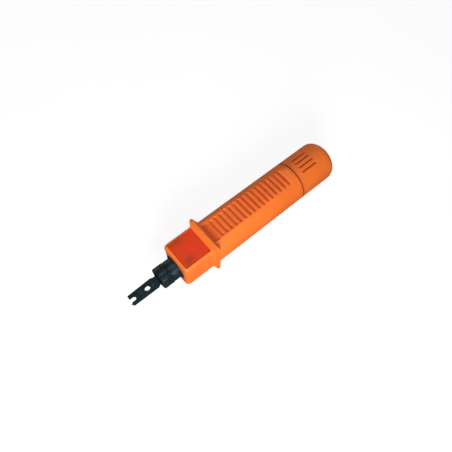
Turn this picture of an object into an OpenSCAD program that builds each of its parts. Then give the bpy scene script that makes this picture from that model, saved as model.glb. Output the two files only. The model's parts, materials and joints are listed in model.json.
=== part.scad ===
// Impact punch down tool: a moulded handle with a square nose, a spring driven hammer inside,
// a twist cap that sets the blow, and a quarter-turn forked blade in a sliding holder.
//
// Every sub-part is drawn on the tool's own axis, which runs along +X. Distances along the
// axis, called u, start at the rounded end of the cap and grow towards the blade.

/* [Cap] */
// Length of the cap that shows
cap_l = 31.6; // [30:0.1:34]
// Radius of the cap and of the round handle
grip_r = 14; // [13.8:0.1:14.2]
// Radius of the cap's rounded end
cap_round = 7.7; // [4:0.1:9]
// Gap between the cap and the handle
seam = 0.4; // [0.2:0.1:0.6]
// Grip grooves in each of the cap's two patches
cap_grooves = 4; // [2:1:5]
// Angle between two of those grooves
cap_groove_step = 15; // [12:0.1:20]

/* [Handle] */
// Length of the round handle, from the seam to the guard flange
grip_l = 71.3; // [71:0.1:77]
// Height of the two flat sides above the axis, where they meet the guard flange
flat_h = 11.2; // [11.1:0.1:11.6]
// How much higher each flat side is at its rear end
flat_rise = 1.9; // [1:0.1:2]
// Number of finger grooves across each flat side
finger_grooves = 16; // [8:1:16]
// Distance between two finger grooves
groove_step = 3.78; // [3:0.01:3.8]
// Radius of a finger groove
groove_r = 0.75; // [0.4:0.05:0.9]

/* [Guard flange] */
// Width of the square flange
flange_w = 28.6; // [28.4:0.1:30]
// Thickness of the flange where it leaves the body
flange_base = 4.4; // [3.6:0.1:5]
// Thickness of the flange at its rim
flange_rim = 1.6; // [1.4:0.1:3]

/* [Nose] */
// Width of the square nose
nose_w = 23; // [22.6:0.1:24]
// Length of the nose, from the flange to its front face
nose_l = 21.3; // [21:0.1:24]
// Length of the coloured panel
panel_l = 18.6; // [14:0.1:18.6]
// Width of the coloured panel
panel_w = 19.6; // [12:0.1:19.8]

/* [Blade holder] */
// Length of the holder in front of the nose
holder_out = 12.8; // [12.4:0.1:16]
// Radius of the holder
holder_r = 7.1; // [7:0.05:7.1]
// Lengthwise flutes around the holder
flutes = 10; // [6:1:12]

/* [Blade] */
// Length of the blade's prongs in front of the holder
blade_out = 20.6; // [18:0.1:24]
// Thickness of the fork plate
fork_t = 1.6; // [1.4:0.1:1.8]
// Thickness of the cutter plate beside it
cutter_t = 0.8; // [0.6:0.1:0.9]
// Width of the slot between the prongs
slot_w = 3; // [2:0.1:3.2]
// Depth of the slot between the prongs
slot_l = 3.7; // [2.5:0.1:4.5]
// Length of the cutting point beyond the prongs
nib_l = 1.1; // [0.6:0.1:1.4]

/* [Mechanism] */
// How far the holder slides into the nose
stroke = 10; // [8:0.5:10]
// How far the sear slides sideways to let the hammer go
sear_step = 1.1; // [0.9:0.05:1.1]
// Radius of the bore that the mechanism runs in
bore_r = 8.15; // [8.1:0.01:8.2]
// Running clearance between a moving piece and its guide
run = 0.08; // [0.05:0.01:0.1]
// Gap between two pieces that only stand beside each other
gap = 0.1; // [0.05:0.01:0.15]
// Wire radius of the main spring
main_wire = 0.8; // [0.6:0.05:0.85]
// Turns of the main spring
main_turns = 8; // [5:1:8]

/* [Hidden] */
$fn = 64;
eps = 0.01;
wire_sides = 8;
coil_steps = 16;

// Stations along the axis
u_seam = cap_l + seam;
u_flange = u_seam + grip_l;
u_nose = u_flange + flange_base;
u_face = u_nose + nose_l;
u_collar = u_face + holder_out;
u_prong = u_collar + blade_out;
total_l = u_prong + nib_l;
axis_h = flange_w / 2;

// Handle: the flats rise towards the cap and stop short of the seam in a scooped run-out
flat_end = u_seam + 4.5;
flat_slope = flat_rise / (u_flange - flat_end);
scoop_r = 7.3;
first_groove = u_flange - 7.15;
front_pocket = [u_flange - 4.4, u_flange - 0.6];
pocket_deep = 0.7;
groove_half_front = 5.7;
groove_half_rear = 7;
groove_deep_front = 0.65;
groove_deep_rear = 0.9;
panel_t = 0.5;
panel_deep = 0.8;
panel_u = u_face - 1.8 - panel_l;
nose_round = 2.2;
nose_chamfer = 0.9;
flange_round = 2.4;

// Cap neck and its grooves
neck_r = 10.2;
neck_l = 6;
neck_bore_r = neck_r + gap;
ring_u = u_seam + 2;
ring_t = 1;
o_ring_u = ring_u + 1.9;
o_ring_w = 1.5;
o_ring_r = 9.6;
o_ring_wire = 0.64;
core_r = 11.5;
cap_end_t = 4.5;
core_u = 24;
cap_hollow_r = 8;
core_seat_r = core_r + 0.05;

// Adjuster
screw_r = 2.5;
screw_head_r = 4.2;
screw_head_l = 3.4;
screw_end = u_seam + 20;
nut_u = u_seam + 1.2;
nut_l = 3.4;
nut_r = 4.2;
nut_pocket_r = 5;
seat_u = u_seam + neck_l + 0.5;
seat_t = 3.5;
seat_travel = 3;
key_r = 9.6;
key_w = 3.2;
washer_t = 0.8;
washer_r = 7.4;
washer_bore_r = 3.2;

// Hammer, trip ring and sear, measured from the stop ring that the hammer rests on
stop_u = u_face - 33.9;
stop_t = 1.4;
ring_bite = 0.8;
stop_bore_r = 6.2;
band_r = bore_r - run;
band_l = 3.9;
hammer_r = 7;
hammer_front = stop_u - gap;
hammer_rear = hammer_front - 22;
spigot_r = 4;
spigot_l = 7;
sear_t = 2.8;
sear_u = hammer_front - band_l - gap - sear_t;
sear_r = hammer_r - 0.1;
sear_half = 4;
sear_foot = 4.6;
sear_pocket = 2.2;
sear_pocket_r = 1.15;
slot_floor = 5.9;
trip_front = sear_u - stroke - gap;
trip_l = 8;
trip_bevel = 1.2;
trip_r = hammer_r + run;

// Plunger rod and springs
tail_r = 1.6;
rod_r = 3.2;
rod_shoulder = hammer_front + 8;
rod_end = u_face - 9;
main_r = 6.05;
main_start = seat_u + seat_t + washer_t;
return_r = 2.4;
return_wire = 0.45;
return_turns = 6;

// Blade holder
holder_u = u_face - 20.1;
guide_start = u_face - 17;
guide_end = u_face - 2;
step_u = u_face + 5.4;
waist_r = 6.88;
stop_flange_r = bore_r - 0.25;
stop_flange_l = 3;
bush_r = 8.4;
bush_l = 10;
bush_proud = 0.25;
nose_bore_r = holder_r + run;
shank_r = 3.2;
shank_bore_r = shank_r + run;
mouth_r = 5;
mouth_l = 1.5;
wall_l = 3;
chamber_r = 5;
chamber = [u_collar - 8.8, u_collar - mouth_l - wall_l];
shank_u = u_collar - 17.5;
clip_u = u_collar - 13.3;
clip_t = 1;
clip_r = 4.1;
clip_bore_r = 2.85;
pin_u = u_face - 13;
pin_r = 1.2;
ear_r = 4.6;
ear_w = 2.2;
ear_slot_r = 4.8;
ear_slot_w = 2.5;

// Blade
plate_u = u_collar - mouth_l + 0.4;
plate_z = -(fork_t + cutter_t) / 2;
neck_half = 2.9;
hole_u = u_collar + 8.5;
hole_r = 1.6;
hole_slot = 0.4;
slot_y = 0.55;
rivet_r = 0.8;
rivet_us = [u_collar + 4.6, u_collar + 13.2];

// Puts a sub-part, drawn along its own axis, in the tool's place on the bench
module on_bench() {
    translate([-total_l / 2, 0, axis_h]) children();
}

// Turns a revolved piece, drawn upright from its rear, so that it points along +X
module along_x(u) {
    translate([u, 0, 0]) rotate([0, 90, 0]) children();
}

module rod(u, l, r) {
    along_x(u) cylinder(h = l, r = r);
}

module ring(u, l, r_out, r_in) {
    difference() {
        rod(u, l, r_out);
        rod(u - 1, l + 2, r_in);
    }
}

// A cone frustum along the axis
module taper(u, l, r_rear, r_front) {
    along_x(u) cylinder(h = l, r1 = r_rear, r2 = r_front);
}

module rounded_square(side, r) {
    square([side - 2 * r, side], center = true);
    square([side, side - 2 * r], center = true);
    for (sx = [-1, 1], sy = [-1, 1]) {
        translate([sx * (side / 2 - r), sy * (side / 2 - r)]) circle(r = r);
    }
}

module square_bar(u, l, side, r) {
    along_x(u) linear_extrude(height = l) rounded_square(side, r);
}

// Cuts a square bar to one side profile, seen along Y and again along Z
module two_way_profile() {
    intersection() {
        rotate([90, 0, 0]) linear_extrude(height = 60, center = true) children(0);
        linear_extrude(height = 60, center = true) children(0);
        children(1);
    }
}

// Both the top and the underside carry the same feature
module top_and_bottom() {
    children();
    mirror([0, 0, 1]) children();
}

// One cross-section of a coil's wire, where the wire has turned by angle
function wire_section(u, r, wire, angle) = [
    for (k = [0 : wire_sides - 1])
        let (a = 360 * k / wire_sides, d = r + wire * cos(a))
        [u + wire * sin(a), d * cos(angle), d * sin(angle)]
];

// How far along the spring the wire is after t turns: the end turns lie closed
function coil_rise(t, l, wire, turns) =
    let (closed = 2.05 * wire, open = (l - 2 * wire - 2 * closed) / (turns - 2))
    t < 1 ? t * closed
    : t > turns - 1 ? l - 2 * wire - (turns - t) * closed
    : closed + (t - 1) * open;

// Helical compression spring from u to u + l, about the axis
module coil(u, l, r, wire, turns) {
    steps = turns * coil_steps;
    points = [
        for (i = [0 : steps])
            let (t = i / coil_steps)
            each wire_section(u + wire + coil_rise(t, l, wire, turns), r, wire, 360 * t)
    ];
    sides = [
        for (i = [0 : steps - 1], k = [0 : wire_sides - 1])
            let (a = i * wire_sides, next = (k + 1) % wire_sides)
            [a + k, a + next, a + wire_sides + next, a + wire_sides + k]
    ];
    start = [for (k = [0 : wire_sides - 1]) wire_sides - 1 - k];
    finish = [for (k = [0 : wire_sides - 1]) steps * wire_sides + k];
    polyhedron(points = points, faces = concat(sides, [start, finish]), convexity = 10);
}

// ---------- Handle ----------

module flange_profile() {
    mid = u_flange + flange_base / 2;
    polygon([
        [u_flange, -nose_w / 2], [mid - flange_rim / 2, -flange_w / 2],
        [mid + flange_rim / 2, -flange_w / 2], [u_nose, -nose_w / 2],
        [u_nose, nose_w / 2], [mid + flange_rim / 2, flange_w / 2],
        [mid - flange_rim / 2, flange_w / 2], [u_flange, nose_w / 2]
    ]);
}

module nose_profile() {
    half = nose_w / 2;
    polygon([
        [u_flange + 1, -half], [u_face - nose_chamfer, -half],
        [u_face, -half + nose_chamfer], [u_face, half - nose_chamfer],
        [u_face - nose_chamfer, half], [u_flange + 1, half]
    ]);
}

// Height of a flat side at station u
function flat_at(u) = flat_h + (u_flange - u) * flat_slope;

// One finger groove with a round floor and round ends, cut across a flat side
module finger_groove(i) {
    u = first_groove - i * groove_step;
    share = i / (finger_grooves - 1);
    half = groove_half_front + (groove_half_rear - groove_half_front) * share;
    deep = groove_deep_front + (groove_deep_rear - groove_deep_front) * share;
    translate([u, 0, flat_at(u) - deep + groove_r]) {
        rotate([90, 0, 0]) cylinder(h = 2 * half, r = groove_r, center = true);
        for (side = [-1, 1]) {
            translate([0, side * half, 0]) sphere(r = groove_r);
        }
    }
}

module flat_side() {
    translate([flat_end, -grip_r, flat_at(flat_end)]) rotate([0, atan(flat_slope), 0]) {
        cube([u_flange - flat_end, 2 * grip_r, grip_r]);
    }
    translate([flat_end, 0, flat_at(flat_end) + scoop_r]) {
        rotate([90, 0, 0]) cylinder(h = 2 * grip_r, r = scoop_r, center = true);
    }
    translate([front_pocket[0], -groove_half_rear, flat_h - pocket_deep]) {
        cube([front_pocket[1] - front_pocket[0], 2 * groove_half_rear, grip_r]);
    }
    for (i = [0 : finger_grooves - 1]) {
        finger_groove(i);
    }
}

module panel_seat() {
    translate([panel_u, -panel_w / 2, nose_w / 2 - panel_deep]) {
        cube([panel_l, panel_w, panel_deep + 1]);
    }
}

module housing_bores() {
    rod(u_seam - 1, neck_l + 1 + gap, neck_bore_r);
    rod(ring_u - 0.1, ring_t + 0.2, neck_bore_r + ring_bite);
    rod(u_seam, guide_start - u_seam, bore_r);
    rod(guide_start - 1, u_face - guide_start + 2, nose_bore_r);
    rod(u_face - bush_l, bush_l + 1, bush_r);
    rod(stop_u, stop_t, bore_r + ring_bite);
    // Keyways that stop the spring seat from turning
    translate([u_seam + neck_l, -key_r - 0.2, -key_w / 2 - gap]) {
        cube([seat_t + seat_travel + 2, 2 * key_r + 0.4, key_w + 2 * gap]);
    }
}

module grip_housing() {
    color([0.93, 0.45, 0.18]) on_bench() difference() {
        union() {
            difference() {
                rod(u_seam, grip_l + 1, grip_r);
                top_and_bottom() flat_side();
            }
            two_way_profile() {
                flange_profile();
                square_bar(u_flange, flange_base, flange_w, flange_round);
            }
            two_way_profile() {
                nose_profile();
                square_bar(u_flange + 1, nose_l + flange_base, nose_w, nose_round);
            }
        }
        housing_bores();
        top_and_bottom() panel_seat();
    }
}

module panel() {
    translate([panel_u + 0.05, -panel_w / 2 + 0.05, nose_w / 2 - panel_deep]) {
        cube([panel_l - 0.1, panel_w - 0.1, panel_t]);
    }
}

module top_panel() {
    color([0.84, 0.27, 0.13]) on_bench() panel();
}

module bottom_panel() {
    color([0.84, 0.27, 0.13]) on_bench() mirror([0, 0, 1]) panel();
}

module nose_bush() {
    color([0.12, 0.13, 0.14]) on_bench() {
        ring(u_face - bush_l, bush_l + bush_proud, bush_r - 0.02, nose_bore_r);
    }
}

// Snap ring with a gap, which the hammer rests on
module stop_ring() {
    color([0.55, 0.56, 0.58]) on_bench() difference() {
        ring(stop_u + 0.05, stop_t - 0.1, bore_r + ring_bite - 0.1, stop_bore_r);
        translate([stop_u - 1, -1.5, -bore_r - 2]) cube([stop_t + 2, 3, bore_r]);
    }
}

// Pressed ring whose bevel pushes the sear in and trips the hammer
module trip_ring() {
    color([0.6, 0.61, 0.63]) on_bench() difference() {
        rod(trip_front - trip_l, trip_l, bore_r - 0.02);
        rod(trip_front - trip_l - 1, trip_l + 2, trip_r);
        taper(trip_front - trip_bevel, trip_bevel + eps, trip_r, bore_r - 0.1);
    }
}

module cap_retaining_ring() {
    color([0.55, 0.56, 0.58]) on_bench() difference() {
        ring(ring_u, ring_t, neck_bore_r + ring_bite - 0.1, neck_r - 0.7);
        translate([ring_u - 1, -2, -neck_r - 3]) cube([ring_t + 2, 4, neck_r]);
    }
}

// ---------- Twist cap ----------

module cap_outline() {
    square([grip_r - cap_round, cap_l]);
    translate([0, cap_round]) square([grip_r, cap_l - cap_round]);
    intersection() {
        translate([grip_r - cap_round, cap_round]) circle(r = cap_round);
        square([grip_r, cap_l]);
    }
}

module cap_groove(angle) {
    from_seam = 5.4;
    l = 11.8;
    r = 0.8;
    rotate([angle, 0, 0]) translate([cap_l - from_seam - l, 0, grip_r]) {
        rotate([0, 90, 0]) cylinder(h = l, r = r);
        for (u = [0, l]) {
            translate([u, 0, 0]) sphere(r = r);
        }
    }
}

module end_cap() {
    color([0.92, 0.43, 0.17]) on_bench() difference() {
        along_x(0) rotate_extrude() cap_outline();
        rod(cap_end_t, cap_l, cap_hollow_r);
        rod(core_u - 0.05, cap_l, core_seat_r);
        for (side = [0, 180], i = [0 : cap_grooves - 1]) {
            cap_groove(side + (i - (cap_grooves - 1) / 2) * cap_groove_step);
        }
    }
}

// Insert in the cap that carries the neck and holds the adjuster screw
module cap_core() {
    color([0.2, 0.2, 0.21]) on_bench() difference() {
        union() {
            rod(core_u, cap_l - core_u, core_r);
            rod(core_u, cap_l + neck_l - core_u, neck_r);
        }
        rod(core_u - 1, 40, screw_r);
        along_x(core_u - 1) cylinder(h = screw_head_l + 1, r = screw_head_r, $fn = 6);
        rod(nut_u, 20, nut_pocket_r);
        ring(ring_u - 0.1, ring_t + 0.2, neck_r + 1, neck_r - 0.8);
        ring(o_ring_u, o_ring_w, neck_r + 1, o_ring_r - o_ring_wire - 0.01);
    }
}

module cap_o_ring() {
    color([0.08, 0.08, 0.08]) on_bench() along_x(o_ring_u + o_ring_w / 2) {
        rotate_extrude() translate([o_ring_r, 0]) circle(r = o_ring_wire);
    }
}

module adjuster_screw() {
    color([0.66, 0.67, 0.69]) on_bench() {
        along_x(core_u) cylinder(h = screw_head_l - 0.05, r = screw_head_r - 0.05, $fn = 6);
        rod(core_u + 1, screw_end - core_u - 2, screw_r - 0.02);
        taper(screw_end - 1 - eps, 0.8, screw_r - 0.02, screw_r - 0.7);
    }
}

module adjuster_nut() {
    color([0.66, 0.67, 0.69]) on_bench() difference() {
        along_x(nut_u + 0.05) cylinder(h = nut_l, r = nut_r, $fn = 6);
        rod(nut_u - 1, nut_l + 2, screw_r);
    }
}

// ---------- Spring seat ----------

module spring_seat() {
    color([0.78, 0.62, 0.3]) on_bench() difference() {
        union() {
            rod(seat_u, seat_t, bore_r - 0.15);
            intersection() {
                translate([seat_u, -key_r, -key_w / 2]) cube([seat_t, 2 * key_r, key_w]);
                rod(seat_u - 1, seat_t + 2, key_r);
            }
        }
        rod(seat_u - 1, seat_t + 2, screw_r + run);
    }
}

module seat_washer() {
    color([0.7, 0.7, 0.72]) on_bench() {
        ring(seat_u + seat_t + 0.02, washer_t - 0.04, washer_r, washer_bore_r);
    }
}

// ---------- Hammer and sear ----------

module main_spring() {
    color([0.5, 0.52, 0.55]) on_bench() {
        coil(main_start, hammer_rear - main_start - 0.02, main_r, main_wire, main_turns);
    }
}

module hammer() {
    slot_half = sear_half + gap;
    color([0.45, 0.46, 0.48]) on_bench() difference() {
        union() {
            rod(hammer_rear, hammer_front - hammer_rear, hammer_r);
            rod(hammer_front - band_l, band_l, band_r);
            rod(hammer_rear - spigot_l + 1, spigot_l, spigot_r);
            taper(hammer_rear - spigot_l, 1, spigot_r - 0.8, spigot_r);
        }
        // Cross slot that the sear slides in
        translate([sear_u - gap, -slot_half, -slot_floor]) {
            cube([sear_t + 2 * gap, 2 * slot_half, 20]);
        }
        // Bore that takes the rod's tail
        rod(sear_u - 8, 40, tail_r + run);
    }
}

module sear() {
    color([0.7, 0.71, 0.73]) on_bench() difference() {
        intersection() {
            translate([sear_u, -sear_half, -sear_foot]) cube([sear_t, 2 * sear_half, 20]);
            translate([0, 0, sear_step]) rod(sear_u - 1, sear_t + 2, sear_r);
        }
        translate([0, 0, sear_step]) rod(sear_u - 1, sear_t + 2, tail_r + 0.12);
        translate([sear_u + sear_t / 2, 0, -sear_foot - 1]) {
            cylinder(h = sear_pocket + 1, r = sear_pocket_r);
        }
    }
}

// Stands across the axis, between the slot's floor and the pocket in the sear
module sear_spring() {
    foot = slot_floor - 0.02;
    l = foot - sear_foot + sear_pocket - 0.02;
    color([0.5, 0.52, 0.55]) on_bench() translate([sear_u + sear_t / 2, 0, -foot]) {
        rotate([0, -90, 0]) coil(0, l, 0.8, 0.2, 6);
    }
}

// ---------- Plunger ----------

module plunger_rod() {
    tail_start = sear_u + sear_t + 0.03;
    color([0.7, 0.71, 0.73]) on_bench() difference() {
        union() {
            rod(tail_start, rod_shoulder - tail_start + 1, tail_r);
            rod(rod_shoulder, rod_end - rod_shoulder, rod_r);
        }
        translate([pin_u, 0, 0]) rotate([90, 0, 0]) cylinder(h = 20, r = pin_r, center = true);
    }
}

module return_spring() {
    color([0.5, 0.52, 0.55]) on_bench() {
        l = rod_shoulder - hammer_front - 0.04;
        coil(hammer_front + 0.02, l, return_r, return_wire, return_turns);
    }
}

module holder_flutes() {
    flute_r = 0.45;
    for (i = [0 : flutes - 1]) {
        rotate([(i + 0.5) * 360 / flutes, 0, 0]) translate([guide_end + 0.6, 0, holder_r + 0.1]) {
            rotate([0, 90, 0]) cylinder(h = 40, r = flute_r);
        }
    }
}

module blade_holder() {
    rim = 0.45;
    color([0.13, 0.16, 0.17]) on_bench() difference() {
        union() {
            rod(holder_u, stop_flange_l, stop_flange_r);
            rod(holder_u + 1, guide_end - holder_u - 1, holder_r);
            rod(guide_end - 1, step_u - guide_end + 2, waist_r);
            rod(step_u, u_collar - rim - step_u, holder_r);
            taper(u_collar - rim - eps, rim + eps, holder_r, holder_r - rim);
        }
        holder_flutes();
        ring(step_u - 0.35, 0.7, holder_r + 1, waist_r - 0.25);
        rod(holder_u - 1, rod_end - holder_u + 1.1, rod_r + 0.01);
        rod(shank_u - 0.3, 60, shank_bore_r);
        rod(clip_u - 0.1, clip_t + 0.2, clip_r + 0.1);
        rod(chamber[0], chamber[1] - chamber[0], chamber_r);
        rod(u_collar - mouth_l, mouth_l + 1, mouth_r);
        // Slots that let the blade's ears out after a quarter turn
        intersection() {
            translate([chamber[1] - 1, -ear_slot_w / 2, -ear_slot_r]) {
                cube([wall_l + 2, ear_slot_w, 2 * ear_slot_r]);
            }
            rod(chamber[1] - 2, wall_l + 4, ear_slot_r);
        }
        translate([pin_u, 0, 0]) rotate([90, 0, 0]) cylinder(h = 20, r = pin_r, center = true);
    }
}

module holder_pin() {
    color([0.62, 0.63, 0.65]) on_bench() translate([pin_u, 0, 0]) {
        rotate([90, 0, 0]) cylinder(h = 2 * holder_r - 0.4, r = pin_r - 0.01, center = true);
    }
}

// Open spring ring in the holder that grips the groove in the blade's shank
module blade_clip() {
    color([0.6, 0.61, 0.63]) on_bench() difference() {
        ring(clip_u, clip_t, clip_r, clip_bore_r);
        translate([clip_u - 1, -0.9, -5]) cube([clip_t + 2, 1.8, 4]);
    }
}

// ---------- Blade ----------

// Outline of the blade from its neck to the two prongs
module blade_outline() {
    shoulder = u_collar + 2.3;
    end_top = -2.95;
    end_low = 3.95;
    difference() {
        polygon([
            [plate_u, -neck_half], [shoulder, -neck_half], [shoulder + 1.4, -3.5],
            [u_prong, end_top], [u_prong, end_low], [shoulder, 4.05],
            [shoulder - 1, neck_half + 0.2], [plate_u, neck_half + 0.2]
        ]);
        translate([u_prong - slot_l + slot_w / 2, slot_y]) {
            circle(r = slot_w / 2);
            translate([0, -slot_w / 2]) square([slot_l, slot_w]);
        }
        translate([hole_u - hole_slot / 2, slot_y - 0.2]) {
            circle(r = hole_r);
            translate([hole_slot, 0]) circle(r = hole_r);
            translate([0, -hole_r]) square([hole_slot, 2 * hole_r]);
        }
        for (u = rivet_us) {
            translate([u, slot_y - 0.2]) circle(r = rivet_r);
        }
    }
}

module blade_body() {
    color([0.13, 0.16, 0.18]) on_bench() {
        translate([0, 0, plate_z]) linear_extrude(height = fork_t) blade_outline();
        difference() {
            union() {
                rod(shank_u, plate_u + 0.6 - shank_u, shank_r);
                intersection() {
                    translate([chamber[0] + 1.4, -ear_r, -ear_w / 2]) cube([2.5, 2 * ear_r, ear_w]);
                    rod(chamber[0], 8, ear_r);
                }
            }
            ring(clip_u - 0.15, clip_t + 0.3, clip_r, clip_bore_r - 0.15);
            // Step that the cutter plate lies on
            translate([plate_u, -5, plate_z + fork_t]) cube([5, 10, 5]);
        }
    }
}

// Thin plate with the pointed edge that trims the wire
module cutter_blade() {
    nib_y = 3.1;
    low = plate_z + fork_t + 0.01;
    color([0.2, 0.24, 0.26]) on_bench() {
        translate([0, 0, low]) linear_extrude(height = cutter_t - 0.01) {
            intersection() {
                blade_outline();
                translate([u_collar + 0.2, -10]) square([60, 20]);
            }
            polygon([
                [u_prong - 0.1, nib_y - 0.55], [u_prong + nib_l, nib_y],
                [u_prong - 0.1, nib_y + 0.55]
            ]);
        }
    }
}

module cutter_rivets() {
    color([0.3, 0.33, 0.35]) on_bench() for (u = rivet_us) {
        translate([u, slot_y - 0.2, plate_z - 0.1]) {
            cylinder(h = fork_t + cutter_t + 0.2, r = rivet_r - 0.01);
        }
    }
}

grip_housing();
top_panel();
bottom_panel();
nose_bush();
stop_ring();
trip_ring();
cap_retaining_ring();
end_cap();
cap_core();
cap_o_ring();
adjuster_screw();
adjuster_nut();
spring_seat();
seat_washer();
main_spring();
hammer();
sear();
sear_spring();
plunger_rod();
return_spring();
blade_holder();
holder_pin();
blade_clip();
blade_body();
cutter_blade();
cutter_rivets();
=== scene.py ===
import json
import math

import bmesh
import bpy
import numpy as np
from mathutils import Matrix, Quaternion, Vector
from mathutils.geometry import tessellate_polygon


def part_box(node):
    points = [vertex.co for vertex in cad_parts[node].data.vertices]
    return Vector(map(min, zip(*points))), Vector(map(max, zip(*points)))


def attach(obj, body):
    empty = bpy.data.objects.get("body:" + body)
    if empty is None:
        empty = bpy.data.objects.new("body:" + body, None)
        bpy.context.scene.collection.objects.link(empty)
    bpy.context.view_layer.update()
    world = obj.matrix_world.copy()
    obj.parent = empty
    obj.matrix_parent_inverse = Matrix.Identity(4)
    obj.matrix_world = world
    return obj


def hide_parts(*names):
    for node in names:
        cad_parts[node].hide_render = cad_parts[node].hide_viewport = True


# Punch down tool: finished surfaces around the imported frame. Shapes are worked out in
# millimetres, with x along the tool as in the frame and y and z counted from the tool's axis.

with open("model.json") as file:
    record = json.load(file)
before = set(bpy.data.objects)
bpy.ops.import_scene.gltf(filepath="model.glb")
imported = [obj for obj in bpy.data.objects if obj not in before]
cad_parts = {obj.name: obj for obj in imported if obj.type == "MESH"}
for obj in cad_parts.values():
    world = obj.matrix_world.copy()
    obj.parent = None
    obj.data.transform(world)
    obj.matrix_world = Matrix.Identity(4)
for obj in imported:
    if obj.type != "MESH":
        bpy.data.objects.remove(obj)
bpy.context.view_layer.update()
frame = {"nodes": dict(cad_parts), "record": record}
scene = bpy.context.scene
MM = 1000.0


def node_box(node):
    """A node's lowest and highest corners at rest, in millimetres."""
    low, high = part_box(node)
    return low * MM, high * MM


housing_low, housing_high = node_box("grip_housing")
cap_low, cap_high = node_box("end_cap")
panel_low, panel_high = node_box("top_panel")
bush_low, bush_high = node_box("nose_bush")
holder_low, holder_high = node_box("blade_holder")
fork_low, fork_high = node_box("blade_body")
cutter_low, cutter_high = node_box("cutter_blade")
rivet_low, rivet_high = node_box("cutter_rivets")

axis_height = (housing_low.z + housing_high.z) / 2
grip_r = (cap_high.y - cap_low.y) / 2
flange_half = (housing_high.y - housing_low.y) / 2


# ---------- Camera ----------

# Places and distances in metres, angles in degrees, the lens in millimetres.
VIEW_TARGET = Vector((0.0053, -0.0015, 0.0145))
VIEW_DISTANCE = 0.2750
VIEW_AZIMUTH = 137.75
VIEW_ELEVATION = 61.98
VIEW_ROLL = 1.96
LENS = 33.98


def make_camera():
    """A camera at the photograph's angle; azimuth 0 looks along +Y."""
    turn = math.radians(VIEW_AZIMUTH)
    rise = math.radians(VIEW_ELEVATION)
    outward = Vector((
        math.sin(turn) * math.cos(rise),
        -math.cos(turn) * math.cos(rise),
        math.sin(rise),
    ))
    camera = bpy.data.objects.new("camera", bpy.data.cameras.new("camera"))
    camera.data.lens = LENS
    camera.data.sensor_width = 36
    camera.data.clip_start = 0.01
    camera.location = VIEW_TARGET + outward * VIEW_DISTANCE
    aim = (-outward).to_track_quat("-Z", "Y")
    camera.rotation_mode = "QUATERNION"
    camera.rotation_quaternion = aim @ Quaternion((0, 0, 1), math.radians(VIEW_ROLL))
    scene.collection.objects.link(camera)
    scene.camera = camera


# ---------- Materials ----------

def new_material(name, roughness, metallic=0.0):
    material = bpy.data.materials.new(name)
    material.use_nodes = True
    shader = material.node_tree.nodes["Principled BSDF"]
    shader.inputs["Roughness"].default_value = roughness
    shader.inputs["Metallic"].default_value = metallic
    return material


class Nodes:
    """Short ways to add and join the nodes of one material."""

    def __init__(self, material):
        self.tree = material.node_tree
        self.shader = self.tree.nodes["Principled BSDF"]
        coordinates = self.tree.nodes.new("ShaderNodeTexCoord")
        self.position = coordinates.outputs["Object"]

    def join(self, source, target):
        self.tree.links.new(source, target)

    def scaled(self, x, y, z):
        """Positions stretched by different amounts along the three axes."""
        mapping = self.tree.nodes.new("ShaderNodeMapping")
        mapping.inputs["Scale"].default_value = (x, y, z)
        self.join(self.position, mapping.inputs["Vector"])
        return mapping.outputs["Vector"]

    def noise(self, scale, detail=3.0, vector=None):
        node = self.tree.nodes.new("ShaderNodeTexNoise")
        node.inputs["Scale"].default_value = scale
        node.inputs["Detail"].default_value = detail
        self.join(vector or self.position, node.inputs["Vector"])
        return node.outputs["Fac"]

    def ramp(self, value, low, high, from_low=0.0, from_high=1.0):
        node = self.tree.nodes.new("ShaderNodeMapRange")
        node.inputs["From Min"].default_value = from_low
        node.inputs["From Max"].default_value = from_high
        node.inputs["To Min"].default_value = low
        node.inputs["To Max"].default_value = high
        self.join(value, node.inputs["Value"])
        return node.outputs["Result"]

    def mix(self, share, first, second):
        """Colours first to second; each is a colour or another node's output."""
        node = self.tree.nodes.new("ShaderNodeMix")
        node.data_type = "RGBA"
        self.join(share, node.inputs["Factor"])
        sockets = [s for s in node.inputs if s.type == "RGBA"]
        for socket, value in zip(sockets, (first, second)):
            if isinstance(value, tuple):
                socket.default_value = (*value, 1.0)
            else:
                self.join(value, socket)
        return [s for s in node.outputs if s.type == "RGBA"][0]

    def spot(self, centre, stretch, radius):
        """A soft uneven patch about (x, y): 1 in its middle, 0 from its radius out."""
        mapping = self.tree.nodes.new("ShaderNodeMapping")
        shift = (-centre[0] * stretch[0], -centre[1] * stretch[1], 0)
        mapping.inputs["Location"].default_value = shift
        mapping.inputs["Scale"].default_value = (*stretch, 0)
        self.join(self.position, mapping.inputs["Vector"])
        distance = self.tree.nodes.new("ShaderNodeVectorMath")
        distance.operation = "LENGTH"
        self.join(mapping.outputs["Vector"], distance.inputs[0])
        near = self.ramp(distance.outputs["Value"], 1.0, 0.0, 0.2 * radius, radius)
        uneven = self.ramp(self.noise(260, 3), 0.55, 1.0, 0.35, 0.6)
        return self.combined("MULTIPLY", near, uneven)

    def combined(self, operation, first, second):
        node = self.tree.nodes.new("ShaderNodeMath")
        node.operation = operation
        self.join(first, node.inputs[0])
        self.join(second, node.inputs[1])
        return node.outputs["Value"]

    def attribute(self, name):
        node = self.tree.nodes.new("ShaderNodeAttribute")
        node.attribute_name = name
        return node.outputs["Fac"]

    def bump(self, height, distance, strength=1.0, under=None):
        node = self.tree.nodes.new("ShaderNodeBump")
        node.inputs["Distance"].default_value = distance
        node.inputs["Strength"].default_value = strength
        self.join(height, node.inputs["Height"])
        if under:
            self.join(under, node.inputs["Normal"])
        return node.outputs["Normal"]


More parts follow.
